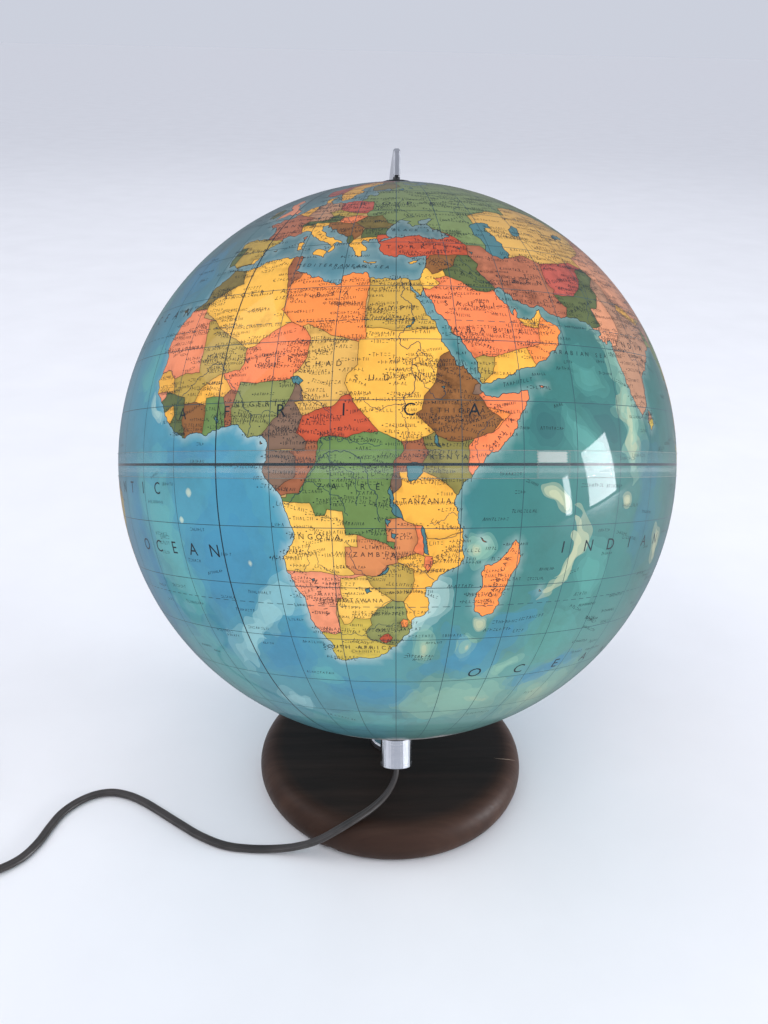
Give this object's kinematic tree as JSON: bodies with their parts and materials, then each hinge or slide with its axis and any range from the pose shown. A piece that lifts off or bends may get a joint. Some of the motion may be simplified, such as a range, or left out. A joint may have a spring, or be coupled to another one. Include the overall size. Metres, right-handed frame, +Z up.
{
  "type": "illuminated desktop globe",
  "caption": "Illuminated desktop globe that turns on a tilted axis in a C-shaped metal arm, on a round wooden base, with a flat mains flex, in-line switch and plug.",
  "frame": {"origin": "centre of the base's underside, on the surface that the globe stands on", "axes": "+Z up, +Y to the back, where the arm stands and the north pole leans, +X to the right seen from the front"},
  "size_m": [0.4899, 0.323, 0.3619],
  "materials": {
    "stained_wood": "dark brown stained and satin lacquered turned wood",
    "felt": "dark green felt",
    "cast_aluminium": "satin grey aluminium",
    "turned_aluminium": "bright turned aluminium with fine grooves",
    "steel": "plated steel",
    "brass": "plain brass",
    "black_plastic": "black moulded plastic",
    "white_plastic": "off-white plastic",
    "printed_globe": "glossy translucent plastic printed with a political map, lit from inside",
    "clear_tape": "clear glossy tape",
    "ceramic": "cream ceramic",
    "lamp_glass": "frosted lamp glass",
    "flex": "dark grey-brown flexible plastic"
  },
  "bodies": {
    "stand": {"felt_pad": "felt", "wooden_base": "stained_wood", "base_screw": "steel", "base_washer": "steel", "meridian_arm": "cast_aluminium", "pole_socket": "turned_aluminium", "cord_grommet": "black_plastic", "lamp_tube": "brass", "tube_lock_nut": "steel", "thrust_washer": "white_plastic", "lamp_holder_cap": "black_plastic", "lamp_holder_shell": "black_plastic", "lamp_holder_ring": "black_plastic", "contact_insert": "ceramic", "centre_contact": "brass", "screw_contact": "brass", "bulb_cap": "steel", "bulb_glass": "lamp_glass", "pivot_pin": "steel", "pivot_bush": "black_plastic", "flex_lead": "flex", "flex_tail": "flex", "flex_coil": "flex", "switch_base": "black_plastic", "switch_cover": "black_plastic", "plug_body": "black_plastic", "plug_pin_left": "steel", "plug_pin_right": "steel"},
    "globe": {"north_hemisphere": "printed_globe", "south_hemisphere": "printed_globe", "joint_ring": "white_plastic", "equator_tape": "clear_tape", "south_collar": "black_plastic", "south_collar_nut": "black_plastic", "north_cap": "black_plastic", "north_cap_nut": "black_plastic"},
    "rocker": {"switch_rocker": "black_plastic"}
  },
  "joints": [
    {"name": "globe_spin", "type": "hinge", "parent": "stand", "child": "globe", "pos_m": [0, 0.018, 0.202], "axis": [0, 0.3987, 0.9171], "continuous": true},
    {"name": "rocker_tilt", "type": "hinge", "parent": "stand", "child": "rocker", "pos_m": [-0.27, -0.084, 0.0116], "axis": [0, 1, 0], "range_deg": [0, 18]}
  ]
}
